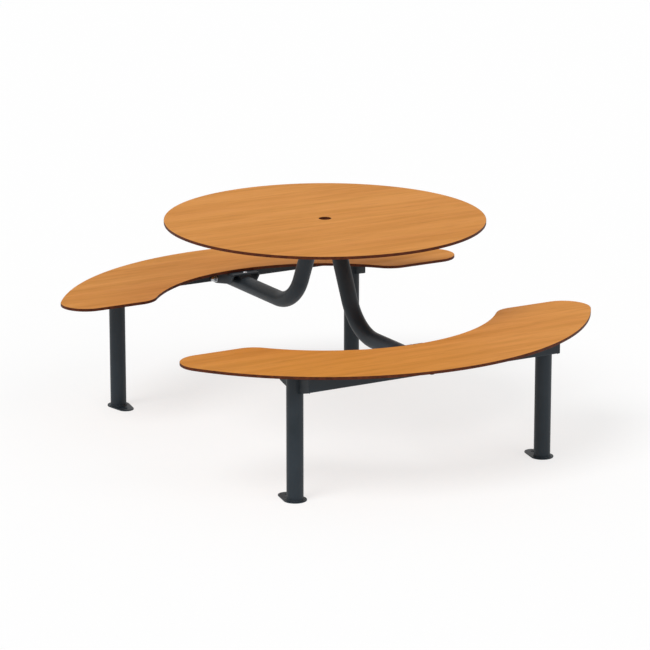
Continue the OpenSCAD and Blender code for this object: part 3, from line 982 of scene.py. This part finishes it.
# Screws into the boards, one model placed on every hole

def screwTree():
    tree, given = newTree("placeScrews", [("Screw", "Object"), ("Seed", "Int"), ("Material", "Material")])
    model = addNode(tree, "GeometryNodeObjectInfo", {"Object": given["Screw"]}).outputs["Geometry"]
    feeds = {"Min": (0.0, 0.0, 0.0), "Max": (0.0, 0.0, 2 * math.pi), "Seed": given["Seed"]}
    turn = addNode(tree, "FunctionNodeRandomValue", feeds, data_type="FLOAT_VECTOR")
    placed = addNode(tree, "GeometryNodeInstanceOnPoints", {
        "Points": given["Geometry"], "Instance": model, "Rotation": turn.outputs["Value"]})
    return finishTree(tree, given, placed.outputs["Instances"])


def boardScrewModel():
    r, headR, headH, roundR = (boardScrew[key] for key in ("radius", "headRadius", "headHeight", "headRound"))
    length = leg["plate"] + board["thick"] - boardScrew["boardSkin"]
    low = arcPoints(headR * boardScrew["headTaper"] - roundR, -headH + roundR, roundR,
                    270, boardScrew["roundEnd"], boardScrew["roundStep"])
    tip = [(r, length - boardScrew["pointLength"]), (boardScrew["pointRadius"], length), (0, length)]
    profile = [(0, -headH)] + low + [(headR, -boardScrew["headLip"]), (headR, 0), (r, 0)] + tip
    screw = turnedPiece("boardScrew", profile, atOrigin, zinc, boardScrew["sides"])
    socket = sheetPiece("screwSocket", [hexOutline(boardScrew["socketRadius"])], headH, 0.0,
                        lift(0, 0, -headH * boardScrew["socketFrom"]), zinc)
    return settleNormals(carve(screw, [socket]), smoothBelow)


def makeBoardScrews():
    tree = screwTree()
    screw = boardScrewModel()
    screw.hide_render = True
    values = {"Screw": screw, "Seed": boardScrew["seed"], "Material": zinc}
    seatPlaces = [(sideX * x, y) for sideX in (-1, 1) for x, y in plateScrewPlaces()] + webScrewPlaces()
    jobs = [("hubScrews", "hub_screws", [(x, y, hub["under"]) for x, y in hubScrewPlaces()])]
    for bench, facing in (("front", -1), ("back", 1)):
        jobs.append(("seatScrews" + bench.capitalize(), "seat_screws_" + bench,
                     [(facing * x, facing * y, leg["top"]) for x, y in seatPlaces]))
    for name, node, places in jobs:
        ready(shapedBy(tree, name, places, [], values), [node])
    bpy.data.objects.remove(screw)


makeBoardScrews()
print("screws ready")


# Weld beads along the joints of the frame

# Each gap is what a bead leaves free at an end
weld = {
    "radius": 1.9, "ripple": 0.16, "uneven": (0.93, 1.07), "pitch": 3.2, "step": 0.8, "sides": 8, "seed": 5,
    "in": 0.6, "ringPoints": 72, "endGap": 2.0, "railGap": 3.0, "tipGap": 4.0, "legGap": 6.0, "foldGap": 8.0,
}


def weldTree():
    tree, given = newTree("weldBead", [
        ("Bead Radius", "Float"), ("Ripple", "Float"), ("Pitch", "Float"), ("Step", "Float"),
        ("Sides", "Int"), ("Seed", "Int"), ("Material", "Material")])
    path = addNode(tree, "GeometryNodeMeshToCurve", {"Mesh": given["Geometry"]}).outputs["Curve"]
    spread = addNode(tree, "GeometryNodeResampleCurve", {
        "Curve": path, "Length": given["Step"]}, mode="LENGTH")
    # The radius swings with each ripple, a little unevenly
    along = addNode(tree, "GeometryNodeSplineParameter").outputs["Length"]
    ripples = maths(tree, "DIVIDE", along, given["Pitch"])
    wave = maths(tree, "SINE", maths(tree, "MULTIPLY", ripples, 2 * math.pi))
    # The number sockets of this node are inputs 2 and 3 and output 1
    low, high = weld["uneven"]
    feeds = {2: low, 3: high, "Seed": given["Seed"]}
    uneven = addNode(tree, "FunctionNodeRandomValue", feeds, data_type="FLOAT").outputs[1]
    size = maths(tree, "ADD", maths(tree, "MULTIPLY", wave, given["Ripple"]), uneven)
    sized = addNode(tree, "GeometryNodeSetCurveRadius", {"Curve": spread.outputs["Curve"], "Radius": size})
    ring = addNode(tree, "GeometryNodeCurvePrimitiveCircle", {
        "Resolution": given["Sides"], "Radius": given["Bead Radius"]})
    sweep = addNode(tree, "GeometryNodeCurveToMesh", {
        "Curve": sized.outputs["Curve"], "Profile Curve": ring.outputs["Curve"], "Fill Caps": True})
    smooth = addNode(tree, "GeometryNodeSetShadeSmooth", {"Geometry": sweep.outputs["Mesh"]})
    return finishTree(tree, given, smooth.outputs["Geometry"])


def ringPath(x, y, z, radiusX, radiusY):
    circle = circlePoints(0, 0, 1, weld["ringPoints"])
    return [(x + radiusX * across, y + radiusY * along, z) for across, along in circle], True


def legWelds():
    # Paths at the leg at +X +Y, each with whether it closes
    r, x, y, top, inset = tube["radius"], leg["x"], leg["y"], leg["top"], weld["in"]
    endGap, railGap, tipGap = weld["endGap"], weld["railGap"], weld["tipGap"]
    paths = [ringPath(x, y, foot["thick"] + inset, r + inset, r + inset)]
    for face in (-1, 1):
        beadX = x + face * (leg["plate"] / 2 + inset)
        for end in (-1, 1):
            beadY = y + end * (r + inset)
            upright = [(beadX, beadY, top - leg["finMiddle"] + endGap), (beadX, beadY, top - endGap)]
            paths.append((upright, False))
            # The rail takes the outer end of the fin's inner face
            short = tipGap if end < 0 or face > 0 else rail["width"] + tipGap
            start, stop = y + end * (r + weld["legGap"]), y + end * (leg["finLength"] / 2 - short)
            paths.append(([(beadX, start, top - inset), (beadX, stop, top - inset)], False))
    railX, railY, low = x - leg["plate"] / 2 - inset, rail["y"], rail["low"]
    upright = [(railX, railY - inset, top - railGap), (railX, railY - inset, low + endGap)]
    level = [(railX, railY + railGap, low - inset), (railX, leg["finOut"] - tipGap, low - inset)]
    return paths + [(upright, False), (level, False)]


def benchWelds():
    # Paths at the back bench and its arm, each with whether it closes
    inset, across, y = weld["in"], tube["radius"] + weld["in"], rail["y"] - weld["in"]
    high, low = leg["top"] - weld["foldGap"], rail["low"] + weld["endGap"]
    paths = [ringPath(0, arm["topY"], hub["under"] - inset, across, across / math.sin(armLean))]
    for face in (cradle["width"] / 2 + inset, cradle["insideX"] - inset):
        for sideX in (-1, 1):
            paths.append(([(sideX * face, y, high), (sideX * face, y, low)], False))
    return paths


def makeWelds():
    placed = [(path, closed, side(*signs)) for path, closed in legWelds() for signs in corners.values()]
    placed += [(path, closed, turn) for path, closed in benchWelds() for turn in bothBenches]
    points, edges = [], []
    for path, closed, place in placed:
        first = len(points)
        points += [tuple(place @ Vector(point)) for point in path]
        edges += [(first + i, first + i + 1) for i in range(len(path) - 1)]
        if closed:
            edges.append((len(points) - 1, first))
    values = {
        "Bead Radius": weld["radius"] * mm, "Ripple": weld["ripple"], "Pitch": weld["pitch"] * mm,
        "Step": weld["step"] * mm, "Sides": weld["sides"], "Seed": weld["seed"], "Material": coat,
    }
    beads = shapedBy(weldTree(), "weldBeads", points, edges, values)
    cleanMesh(beads.data)
    ready(beads, [])


makeWelds()
print("welds ready")


# Floor, light and background

floorLook = {"size": 80.0, "grey": 0.97, "roughness": 0.9, "shine": 0.1, "seenWhite": 0.70}
suns = {
    "key": {"towards": (-0.73, -0.27, 1.0), "strength": 1.75, "angle": 32.0},
    "fill": {"towards": (0.39, -0.9, 0.7), "strength": 0.65, "angle": 50.0},
}
skyLook = {"light": 0.45, "seen": 1.0}


def seenRays(tree):
    # One for rays that the camera, a reflection or clear glass sees directly
    path = addNode(tree, "ShaderNodeLightPath").outputs
    seen = maths(tree, "MAXIMUM", path["Is Camera Ray"], path["Is Glossy Ray"])
    return maths(tree, "MAXIMUM", seen, path["Is Transmission Ray"])


def makeStage():
    half, grey = floorLook["size"] / 2, floorLook["grey"]
    mesh = bpy.data.meshes.new("floor")
    mesh.from_pydata([(x, y, 0) for x, y in rectangle(-half, -half, half, half)], [], [(0, 1, 2, 3)])
    floor = bpy.data.objects.new("floor", mesh)
    scene.collection.objects.link(floor)
    material, tree, shader = newMaterial("paleFloor")
    shader.inputs["Base Color"].default_value = (grey, grey, grey, 1.0)
    shader.inputs["Roughness"].default_value = floorLook["roughness"]
    shader.inputs["Specular IOR Level"].default_value = floorLook["shine"]
    # Seen directly it is mostly white, and the rest shows the shadow
    glow = addNode(tree, "ShaderNodeEmission").outputs["Emission"]
    share = maths(tree, "MULTIPLY", seenRays(tree), floorLook["seenWhite"])
    blend = addNode(tree, "ShaderNodeMixShader", {"Fac": share, 1: shader.outputs["BSDF"], 2: glow})
    tree.links.new(blend.outputs["Shader"], tree.nodes["Material Output"].inputs["Surface"])
    mesh.materials.append(material)


def makeLight():
    for name, look in suns.items():
        sunData = bpy.data.lights.new(name + "Sun", "SUN")
        sunData.energy = look["strength"]
        sunData.angle = math.radians(look["angle"])
        sun = bpy.data.objects.new(name + "Sun", sunData)
        sun.rotation_euler = Vector(look["towards"]).to_track_quat("Z", "Y").to_euler()
        scene.collection.objects.link(sun)
    world = bpy.data.worlds.new("studio")
    world.use_nodes = True
    tree = world.node_tree
    sky = tree.nodes["Background"]
    sky.inputs["Color"].default_value = (1, 1, 1, 1)
    strength = mapRange(tree, seenRays(tree), 0.0, 1.0, skyLook["light"], skyLook["seen"])
    tree.links.new(strength, sky.inputs["Strength"])
    scene.world = world


makeStage()
makeLight()
print("stage ready")
